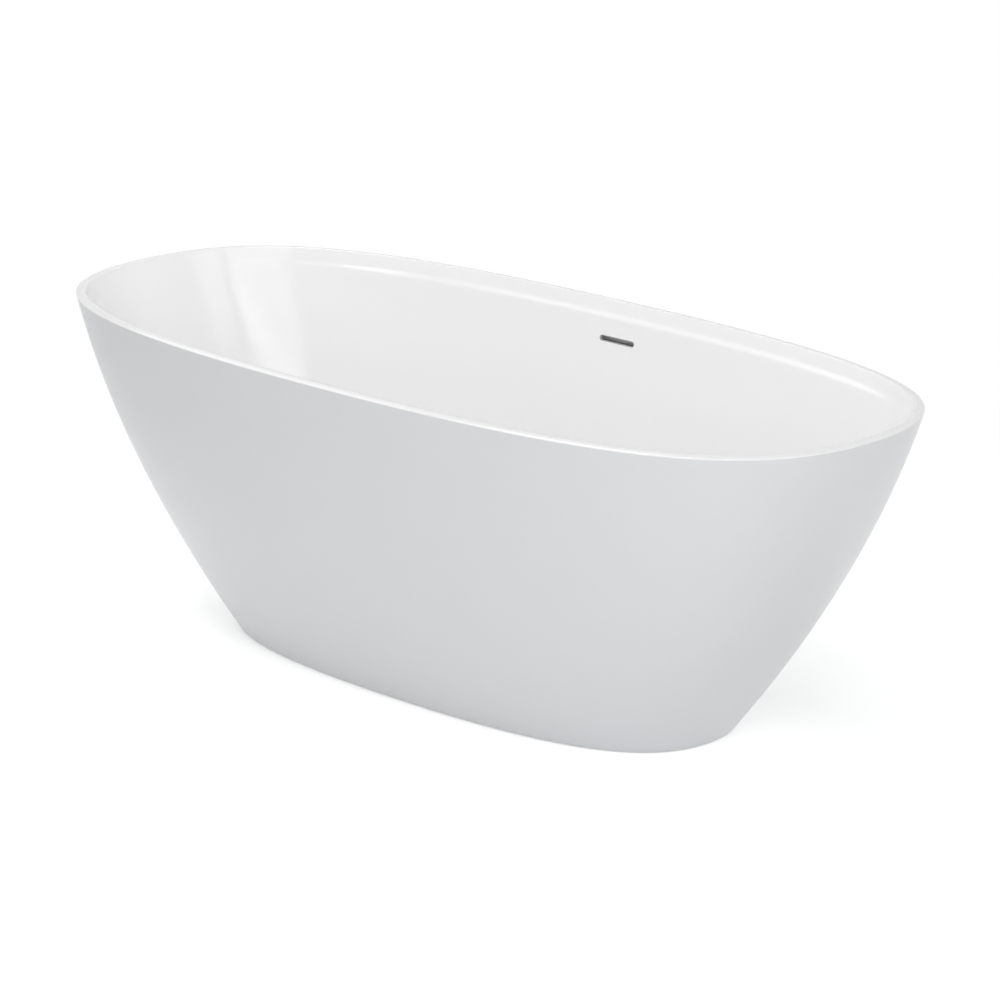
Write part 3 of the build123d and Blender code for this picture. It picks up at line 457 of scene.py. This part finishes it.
def powder_coat():
    """Powder-coated steel tube: grey, half matt, with orange peel."""
    material, tree, output = new_material("Steel tube, powder-coated grey")
    place = add_node(tree, "ShaderNodeTexCoord").outputs["Object"]
    peel = add_node(tree, "ShaderNodeTexNoise", {"Vector": place, "Scale": per_metre(1.6), "Detail": 2.0})
    bump = add_node(
        tree, "ShaderNodeBump", {"Height": peel.outputs["Fac"], "Strength": 0.3, "Distance": 0.15 * MM}
    )
    shade = add_node(
        tree,
        "ShaderNodeBsdfPrincipled",
        {"Base Color": linear("#6C7073"), "Roughness": 0.45, "IOR": 1.5, "Normal": bump.outputs["Normal"]},
    )
    tree.links.new(shade.outputs["BSDF"], output.inputs["Surface"])
    return material


def chipboard():
    """Moisture-proof chipboard: pressed flakes in several browns with a green cast."""
    material, tree, output = new_material("Chipboard, pressed, moisture-proof")
    place = add_node(tree, "ShaderNodeTexCoord").outputs["Object"]
    stretch = add_node(tree, "ShaderNodeMapping", {"Vector": place, "Scale": (1.0, 2.2, 3.0)})
    flakes = add_node(
        tree, "ShaderNodeTexVoronoi", {"Vector": stretch.outputs["Vector"], "Scale": per_metre(7)}
    )
    tone = add_node(
        tree,
        "ShaderNodeMix",
        {"Factor": flakes.outputs["Distance"], "A": linear("#A98D63"), "B": linear("#7F7A4E")},
        data_type="RGBA",
    )
    bump = add_node(
        tree, "ShaderNodeBump", {"Height": flakes.outputs["Distance"], "Strength": 0.3, "Distance": 0.3 * MM}
    )
    shade = add_node(
        tree,
        "ShaderNodeBsdfPrincipled",
        {
            "Base Color": tone.outputs["Result"],
            "Roughness": 0.8,
            "IOR": 1.45,
            "Normal": bump.outputs["Normal"],
        },
    )
    tree.links.new(shade.outputs["BSDF"], output.inputs["Surface"])
    return material


# Pieces


def dress(material, *nodes):
    """Gives CAD nodes a material."""
    for node in nodes:
        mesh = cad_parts[node].data
        mesh.materials.clear()
        mesh.materials.append(material)


def settings():
    """The three groups of settings."""
    scene = bpy.context.scene
    return scene.bath_shape, scene.bath_finish, scene.bath_studio


class BATH_OT_basin(bpy.types.Operator):
    """Model the bowl with its soft ledge and crowned rim"""

    bl_idname = "bath.basin"
    bl_label = "Basin"

    # Gap round the waste's flange, and width of the seat under its gasket
    waste_gap = 0.5 * MM
    seat_width = 11 * MM
    # Fall of the floor to the waste, and how far from its middle that starts
    dish = 3 * MM
    dish_radius = 120 * MM
    # Angle above level at which the lip's round leaves the wall, and its depth there in lip radii
    lip_start = 22
    lip_depth = 0.63
    # Depth below the rim, in lip radii, at which the wall's own rings end
    wall_end = 1.6
    # Distance below the ledge from which the wall's rings lie closer
    ledge_margin = 14 * MM
    # Insets of the extra rings under the rim and under the floor
    under_rim = 2 * MM
    under_floor = 60 * MM

    def execute(self, context):
        shape, finish, _ = settings()
        form = BathForm(shape)
        # Polished: a bright, even white under a clear gloss
        material = acrylic("Acrylic, vacuum-formed and polished", finish.basin, 160, 0.115, 0.125)
        skin = sweep(self.stations(form), shape.columns)
        basin = piece_from(skin, "bath_basin", material)
        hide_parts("basin")
        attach(basin, "bath")
        return {"FINISHED"}

    def stations(self, form):
        """Round the basin's section: over the floor, up the bowl, over the rim and down the back."""
        shape = form.shape
        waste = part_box("waste_flange")[1].x + self.waste_gap
        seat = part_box("waste_flange_gasket")[0].z
        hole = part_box("waste_flange_gasket")[1].x - self.seat_width
        underside = shape.floor_level - shape.floor_wall
        floor_edge = form.wall_gap(shape.floor_level) + shape.floor_radius
        rings = [lambda turn: self.disc(turn, seat, waste)]
        rings += [self.floor_ring(form, part, waste, floor_edge) for part in spread(0, 1, 24)]
        wall_top = shape.height - self.wall_end * shape.rim_lip
        rings += self.bowl(form, shape.floor_level, shape.floor_radius, 0.0, wall_top)
        rings += self.rim(form)
        underlip = shape.height - shape.rim_wall
        rings += [oval(form, underlip), oval(form, underlip, self.under_rim)]
        back = self.bowl(form, underside, shape.floor_radius + shape.basin_wall, shape.basin_wall, underlip)
        rings += back[::-1]
        flat = form.wall_gap(underside) + shape.floor_radius
        rings += [oval(form, underside, flat + self.under_floor)]
        rings += [lambda turn: self.disc(turn, underside, hole), lambda turn: self.disc(turn, seat, hole)]
        return rings

    def rim(self, form):
        """Stations round the inner lip, down the crowned top and round the outer edge."""
        shape = form.shape
        lip, edge = shape.rim_lip, shape.rim_edge
        lip_foot = shape.height - self.lip_depth * lip
        lip_inset = form.inner_gap(lip_foot) - lip * math.cos(math.radians(self.lip_start))
        slope = math.atan(2 * shape.rim_fall / (lip_inset - edge))
        edge_inset = edge * (1 - math.sin(slope))
        edge_level = shape.height - shape.rim_fall - edge * math.cos(slope)
        crown = [
            oval(form, shape.height - shape.rim_fall * part**2, lip_inset + (edge_inset - lip_inset) * part)
            for part in spread(0, 1, 8)[1:-1]
        ]
        return [
            *round_edge(form, shape.height - lip, lip_inset, lip, self.lip_start, 90, 6),
            *crown,
            *round_edge(form, edge_level, edge, edge, 90 + math.degrees(slope), 180, 8),
        ]

    def bowl(self, form, floor, radius, growth, top):
        """Stations from the floor's edge up the rounded corner and the wall to a top level."""
        levels = [floor + radius * (1 - math.cos(math.radians(angle))) for angle in spread(0, 90, 14)]
        levels += spread(levels[-1], form.ledge_level - self.ledge_margin, 26)[1:]
        levels += spread(levels[-1], top, 22)[1:]
        rings = []
        for level in levels:
            below = max(radius - (level - floor), 0.0)
            pull = radius - math.sqrt(radius**2 - below**2)
            rings.append(self.wall_ring(form, level, pull - growth))
        return rings

    def wall_ring(self, form, level, shift):
        """Station on the bowl's wall, shifted inwards."""
        return lambda turn: form.point(turn, level, form.inner_gap(level, turn) + shift)

    def disc(self, turn, level, radius):
        """Point on a circle round the waste's axis."""
        angle = turn * math.pi / 2
        return Vector((radius * math.cos(angle), radius * math.sin(angle), level))

    def floor_ring(self, form, part, waste, floor_edge):
        """Station between the waste's round seat and the floor's oval edge, dished to the waste."""
        shape = form.shape

        def place(turn):
            rim = form.point(turn, shape.floor_level, floor_edge)
            inner = self.disc(turn, shape.floor_level, waste)
            spot = inner.lerp(rim, part**1.5)
            reach = (spot.xy.length - waste) / (self.dish_radius - waste)
            spot.z = shape.floor_level - self.dish * (1 - ease(reach))
            return spot

        return place


class BATH_OT_skirt(bpy.types.Operator):
    """Model the tapered outer shell"""

    bl_idname = "bath.skirt"
    bl_label = "Skirt"

    edge_radius = 1.5 * MM
    flange_width = 10.5 * MM

    def execute(self, context):
        shape, finish, _ = settings()
        form = BathForm(shape)
        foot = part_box("skirt")[0].z
        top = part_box("skirt")[1].z
        radius = self.edge_radius
        rings = [
            oval(form, foot + radius * (1 - math.cos(angle)), radius * (1 - math.sin(angle)))
            for angle in spread(0, math.pi / 2, 5)
        ]
        rings += [oval(form, level) for level in spread(foot + radius, top, 48)[1:]]
        rings += [oval(form, top, self.flange_width), oval(form, top - shape.skirt_wall, self.flange_width)]
        rings += [oval(form, level, shape.skirt_wall) for level in spread(top - shape.skirt_wall, foot, 24)]
        # Satin: a cool white with soft, broad reflections. It is greyer than the bowl's white of the same
        # acrylic, and that grey is partly painted shade of the outer face.
        satin = acrylic("Acrylic, vacuum-formed, satin", finish.skirt, 200, 0.285, 0.295)
        skirt = piece_from(sweep(rings, shape.columns), "bath_skirt", satin)
        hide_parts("skirt")
        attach(skirt, "bath")
        return {"FINISHED"}


class BATH_OT_rim_joint(bpy.types.Operator):
    """Model the filled and polished joint between skirt and rim"""

    bl_idname = "bath.rim_joint"
    bl_label = "Rim joint"

    depth = 10 * MM

    def execute(self, context):
        shape, finish, _ = settings()
        form = BathForm(shape)
        low, high = (corner.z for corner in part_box("rim_bond"))
        rings = [oval(form, low), oval(form, high)]
        rings += [oval(form, high, self.depth), oval(form, low, self.depth)]
        # The filler takes the skirt's colour, so it carries the same painted shade
        filler = moulded_plastic("Methacrylate filler, sanded flush", finish.skirt, 0.3, 3.0)
        joint = piece_from(sweep(rings, shape.columns), "bath_rim_joint", filler)
        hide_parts("rim_bond")
        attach(joint, "bath")
        return {"FINISHED"}


class BATH_OT_overflow(bpy.types.Operator):
    """Cut the overflow slot, line it with a sleeve and finish what lies behind it"""

    bl_idname = "bath.overflow"
    bl_label = "Overflow"

    slot_length = 78 * MM
    slot_height = 8.4 * MM
    sleeve_wall = 1.2 * MM
    sleeve_depth = 12 * MM
    mouth_drop = 3.4 * MM
    edge = 0.5 * MM
    fit_gap = 0.05 * MM
    cut_depth = 15 * MM
    columns = 96

    def execute(self, context):
        shape, finish, _ = settings()
        form = BathForm(shape)
        # A grey darkened to paint the shade on the slot's lower face, and a paler one behind it, lightened
        # to paint light into the back of the slot
        trim = moulded_plastic("ABS, moulded light grey", finish.sleeve, 0.35)
        # Painted light: the manifold and hose behind the slot are made paler so the slot's shaded back reads
        # lighter
        pale = moulded_plastic("Polypropylene, moulded pale grey", linear("#DADCDC"), 0.45)
        wall = self.wall_frame(form)
        basin = bpy.data.objects["bath_basin"]
        cut_away(basin, self.cutter(wall))
        finish_mesh(basin.data, basin.data.materials[0])
        sleeve = sweep(self.sleeve_stations(), self.columns, half_step=True)
        bmesh.ops.transform(sleeve, matrix=wall, verts=sleeve.verts)
        sleeve = piece_from(sleeve, "bath_overflow_sleeve", trim)
        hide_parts("overflow_trim")
        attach(sleeve, "bath")
        dress(pale, "overflow_manifold", "overflow_hose")
        dress(trim, "hose_collar_top", "hose_collar_bottom")
        dress(rubber(), "overflow_gasket")
        return {"FINISHED"}

    def wall_frame(self, form):
        """Skewed matrix of the slot: X along the bath, Y up the sloping wall, Z level through it."""
        level = (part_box("overflow_trim")[0].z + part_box("overflow_trim")[1].z) / 2 - self.mouth_drop
        tilt = form.wall_tilt(level)
        axes = Matrix(((-1, 0, 0), (0, math.sin(tilt), math.cos(tilt)), (0, 1, 0))).transposed()
        place = Vector((0, form.half_width(level) - form.inner_gap(level), level))
        return Matrix.Translation(place) @ axes.to_4x4()

    def stadium(self, depth, growth):
        """Station of the sleeve: a slot outline at a depth, larger than the slot by a growth."""
        radius = self.slot_height / 2 + growth
        half_run = (self.slot_length - self.slot_height) / 2

        def place(turn):
            angle = turn * math.pi / 2
            return Vector(
                (
                    radius * math.cos(angle) + math.copysign(half_run, math.cos(angle)),
                    radius * math.sin(angle),
                    depth,
                )
            )

        return place

    def sleeve_stations(self):
        """Round the sleeve's section: its rounded mouth, the bore, the back end and the outside."""
        mouth = [
            self.stadium(self.edge * (1 - math.sin(angle)), self.edge * (1 - math.cos(angle)))
            for angle in spread(math.pi / 2, 0, 5)
        ]
        return [
            self.stadium(0.0, self.sleeve_wall),
            *mouth,
            self.stadium(self.sleeve_depth, 0.0),
            self.stadium(self.sleeve_depth, self.sleeve_wall),
        ]

    def cutter(self, wall):
        """A solid slot through the wall, a hair larger than the sleeve."""
        growth = self.sleeve_wall + self.fit_gap
        rings = [self.stadium(depth, growth) for depth in (-self.cut_depth, self.cut_depth)]
        skin = sweep(rings, self.columns, half_step=True, closed=False)
        bmesh.ops.transform(skin, matrix=wall, verts=skin.verts)
        return add_object("slot_cutter", mesh_from(skin, "slot_cutter"))


class BATH_OT_waste(bpy.types.Operator):
    """Finish the pop-up waste in the floor and the trap below it"""

    bl_idname = "bath.waste"
    bl_label = "Waste and trap"

    def execute(self, context):
        # Satin chrome blurs what it mirrors, turned brass is a warm yellow, the plastic an off-white
        chrome = metal("Brass, plated in satin chrome", "#D3D5D6", 0.3, 0.38, 6)
        brass = metal("Brass, turned", "#C6A35B", 0.18, 0.28, 3, 0.05)
        white = moulded_plastic("Polypropylene, moulded white", linear("#DEDEDB"), 0.42)
        black = rubber()
        dress(chrome, "plug_cap", "waste_flange")
        dress(brass, "plug_stem", "popup_cartridge")
        dress(metal("Spring steel, drawn", "#A9ADB0", 0.15, 0.25, 2, 0.02), "popup_spring")
        dress(black, "plug_seal", "waste_flange_gasket", "waste_lower_gasket", "trap_washer", "outlet_seal")
        dress(white, "waste_body", "trap_cup", "trap_union_nut", "outlet_nut")
        return {"FINISHED"}


class BATH_OT_underframe(bpy.types.Operator):
    """Finish the board, the cross rails and the levelling feet"""

    bl_idname = "bath.underframe"
    bl_label = "Underframe"

    def execute(self, context):
        # Zinc gleams unevenly in a bluish grey, and nylon is a dull black
        zinc = metal("Steel, zinc-plated", "#B7BBBD", 0.28, 0.42, 5, 0.05)
        black = moulded_plastic("Nylon, moulded black", linear("#1E1F20"), 0.5)
        sole = rubber()
        dress(chipboard(), "base_board")
        dress(powder_coat(), "cross_rail_left", "cross_rail_right")
        dress(black, "rail_end_buffers")
        dress(zinc, "rail_screws", "rail_weld_nuts", "foot_lock_nuts")
        for foot in ("front_left", "front_right", "back_left", "back_right"):
            dress(zinc, f"foot_stud_{foot}")
            dress(black, f"foot_pad_{foot}")
            dress(sole, f"foot_sole_{foot}")
        return {"FINISHED"}


# Stage

# Softboxes of the studio: name, azimuth and elevation in degrees, width and height in metres, watts
SOFTBOXES = (
    ("Front softbox", -47, 28, 4.2, 3.0, 55),
    ("High front softbox", -47, 50, 3.0, 1.5, 22),
    ("Overhead softbox", -90, 70, 2.0, 1.5, 27),
    ("Left softbox", 180, 65, 2.5, 1.5, 58),
    ("Low left softbox", 176, 42, 2.5, 1.5, 22),
    ("Back softbox", 75, 36, 4.0, 2.5, 10),
    ("Right softbox", 6, 27, 1.6, 2.8, 17),
)


class BATH_OT_stage(bpy.types.Operator):
    """Set the floor, the studio light and the camera"""

    bl_idname = "bath.stage"
    bl_label = "Stage"

    lamp_distance = 4.5
    lamp_aim = Vector((0, 0, 0.35))
    # Direction of the walls that are lit in full
    bright_side = Vector((0.94, 0.34, 0.0))
    # Height on a unit sphere up to which the walls are lit in full, and where they have faded out
    walls_lit = 0.2
    walls_gone = 0.8
    floor_size = 30.0
    # Distances from the bath's middle between which the floor's shade gives way to plain white
    shade_reach = 0.8
    white_reach = 2.0
    # Where the camera stands, and the degrees by which it looks down and turns from +Y
    camera_place = Vector((4.7827, -4.9258, 2.3929))
    camera_dip = 16.933
    camera_turn = 43.862

    def execute(self, context):
        _, _, studio = settings()
        scene = context.scene
        scene.view_settings.view_transform = "Standard"
        self.floor(studio.floor_lift)
        self.walls(scene, studio.walls, studio.left_walls)
        for name, azimuth, elevation, width, height, power in SOFTBOXES:
            self.softbox(name, azimuth, elevation, width, height, power * studio.lamps)
        self.camera(scene, studio.lens)
        return {"FINISHED"}

    def floor(self, lift):
        """A pale floor that takes the bath's shadow and runs out to plain white where it is seen."""
        plane = bmesh.new()
        bmesh.ops.create_grid(plane, x_segments=1, y_segments=1, size=self.floor_size)
        mesh = mesh_from(plane, "studio_floor")
        material, tree, output = new_material("Studio floor, matt white")
        paint = add_node(tree, "ShaderNodeBsdfDiffuse", {"Color": linear("#F2F2F2")})
        glow = add_node(tree, "ShaderNodeEmission", {"Color": (1, 1, 1, 1), "Strength": lift})
        near = add_node(tree, "ShaderNodeAddShader", {0: paint.outputs["BSDF"], 1: glow.outputs["Emission"]})
        far = add_node(tree, "ShaderNodeEmission", {"Color": (1, 1, 1, 1), "Strength": 1.0})
        place = add_node(tree, "ShaderNodeTexCoord").outputs["Object"]
        reach = add_node(tree, "ShaderNodeVectorMath", {0: place}, operation="LENGTH")
        outwards = add_node(
            tree,
            "ShaderNodeMapRange",
            {"Value": reach.outputs["Value"], "From Min": self.shade_reach, "From Max": self.white_reach},
            interpolation_type="SMOOTHSTEP",
        )
        shown = add_node(
            tree,
            "ShaderNodeMixShader",
            {0: outwards.outputs["Result"], 1: near.outputs["Shader"], 2: far.outputs["Emission"]},
        )
        path = add_node(tree, "ShaderNodeLightPath")
        seen = path.outputs["Is Camera Ray"]
        for kind in ("Is Glossy Ray", "Is Transmission Ray"):
            either = add_node(tree, "ShaderNodeMath", {0: seen, 1: path.outputs[kind]}, operation="MAXIMUM")
            seen = either.outputs["Value"]
        both = add_node(
            tree, "ShaderNodeMixShader", {0: seen, 1: paint.outputs["BSDF"], 2: shown.outputs["Shader"]}
        )
        tree.links.new(both.outputs["Shader"], output.inputs["Surface"])
        mesh.materials.append(material)
        floor = add_object("studio_floor", mesh)

    def walls(self, scene, strength, left_share):
        """White walls that light the bath from the sides, dimmer on the left, and fade out overhead."""
        world = bpy.data.worlds.new("Studio walls")
        world.use_nodes = True
        tree = world.node_tree
        tree.nodes.clear()
        direction = add_node(tree, "ShaderNodeTexCoord").outputs["Generated"]
        height = add_node(tree, "ShaderNodeSeparateXYZ", {"Vector": direction}).outputs["Z"]
        fade = add_node(
            tree,
            "ShaderNodeMapRange",
            {
                "Value": height,
                "From Min": self.walls_lit,
                "From Max": self.walls_gone,
                "To Min": strength,
                "To Max": 0.0,
            },
            interpolation_type="SMOOTHSTEP",
        )
        facing = add_node(
            tree, "ShaderNodeVectorMath", {0: direction, 1: self.bright_side}, operation="DOT_PRODUCT"
        )
        side = add_node(
            tree,
            "ShaderNodeMapRange",
            {"Value": facing.outputs["Value"], "From Min": -1.0, "To Min": left_share},
        )
        level = add_node(
            tree,
            "ShaderNodeMath",
            {0: fade.outputs["Result"], 1: side.outputs["Result"]},
            operation="MULTIPLY",
        )
        lit = add_node(
            tree, "ShaderNodeBackground", {"Color": (1, 1, 1, 1), "Strength": level.outputs["Value"]}
        )
        add_node(tree, "ShaderNodeOutputWorld", {"Surface": lit.outputs["Background"]})
        scene.world = world

    def softbox(self, name, azimuth, elevation, width, height, power):
        """A rectangular soft light that faces the bath from a direction in degrees."""
        light = bpy.data.lights.new(name, "AREA")
        light.shape = "RECTANGLE"
        light.size = width
        light.size_y = height
        light.energy = power
        lamp = add_object(name, light)
        heading = Matrix.Rotation(math.radians(azimuth), 3, "Z")
        climb = Matrix.Rotation(math.radians(-elevation), 3, "Y")
        outward = heading @ climb @ Vector((1, 0, 0))
        lamp.location = self.lamp_aim + self.lamp_distance * outward
        lamp.rotation_euler = outward.to_track_quat("Z", "Y").to_euler()

    def camera(self, scene, lens):
        """A long lens that looks down on the bath from the front right."""
        data = bpy.data.cameras.new("Camera")
        data.sensor_width = 36.0
        data.lens = lens
        data.clip_end = 100.0
        camera = add_object("Camera", data)
        camera.location = self.camera_place
        camera.rotation_euler = (math.radians(90 - self.camera_dip), 0.0, math.radians(self.camera_turn))
        scene.camera = camera


class BATH_PT_sidebar(bpy.types.Panel):
    """One button for each piece or group of pieces, and one for the stage"""

    bl_label = "Oval Bath"
    bl_space_type = "VIEW_3D"
    bl_region_type = "UI"
    bl_category = "Bath"

    def draw(self, context):
        for operator in OPERATORS:
            self.layout.operator(operator.bl_idname)


GROUPS = {"bath_shape": BathShape, "bath_finish": BathFinish, "bath_studio": BathStudio}
OPERATORS = (
    BATH_OT_skirt,
    BATH_OT_basin,
    BATH_OT_rim_joint,
    BATH_OT_overflow,
    BATH_OT_waste,
    BATH_OT_underframe,
    BATH_OT_stage,
)
CLASSES = (*GROUPS.values(), *OPERATORS, BATH_PT_sidebar)


def register():
    for cls in CLASSES:
        bpy.utils.register_class(cls)
    for name, group in GROUPS.items():
        setattr(bpy.types.Scene, name, PointerProperty(type=group))


def unregister():
    for name in GROUPS:
        delattr(bpy.types.Scene, name)
    for cls in reversed(CLASSES):
        bpy.utils.unregister_class(cls)


def main():
    register()
    bpy.ops.bath.skirt()
    bpy.ops.bath.basin()
    bpy.ops.bath.rim_joint()
    bpy.ops.bath.overflow()
    bpy.ops.bath.waste()
    bpy.ops.bath.underframe()
    bpy.ops.bath.stage()


if __name__ == "__main__":
    main()
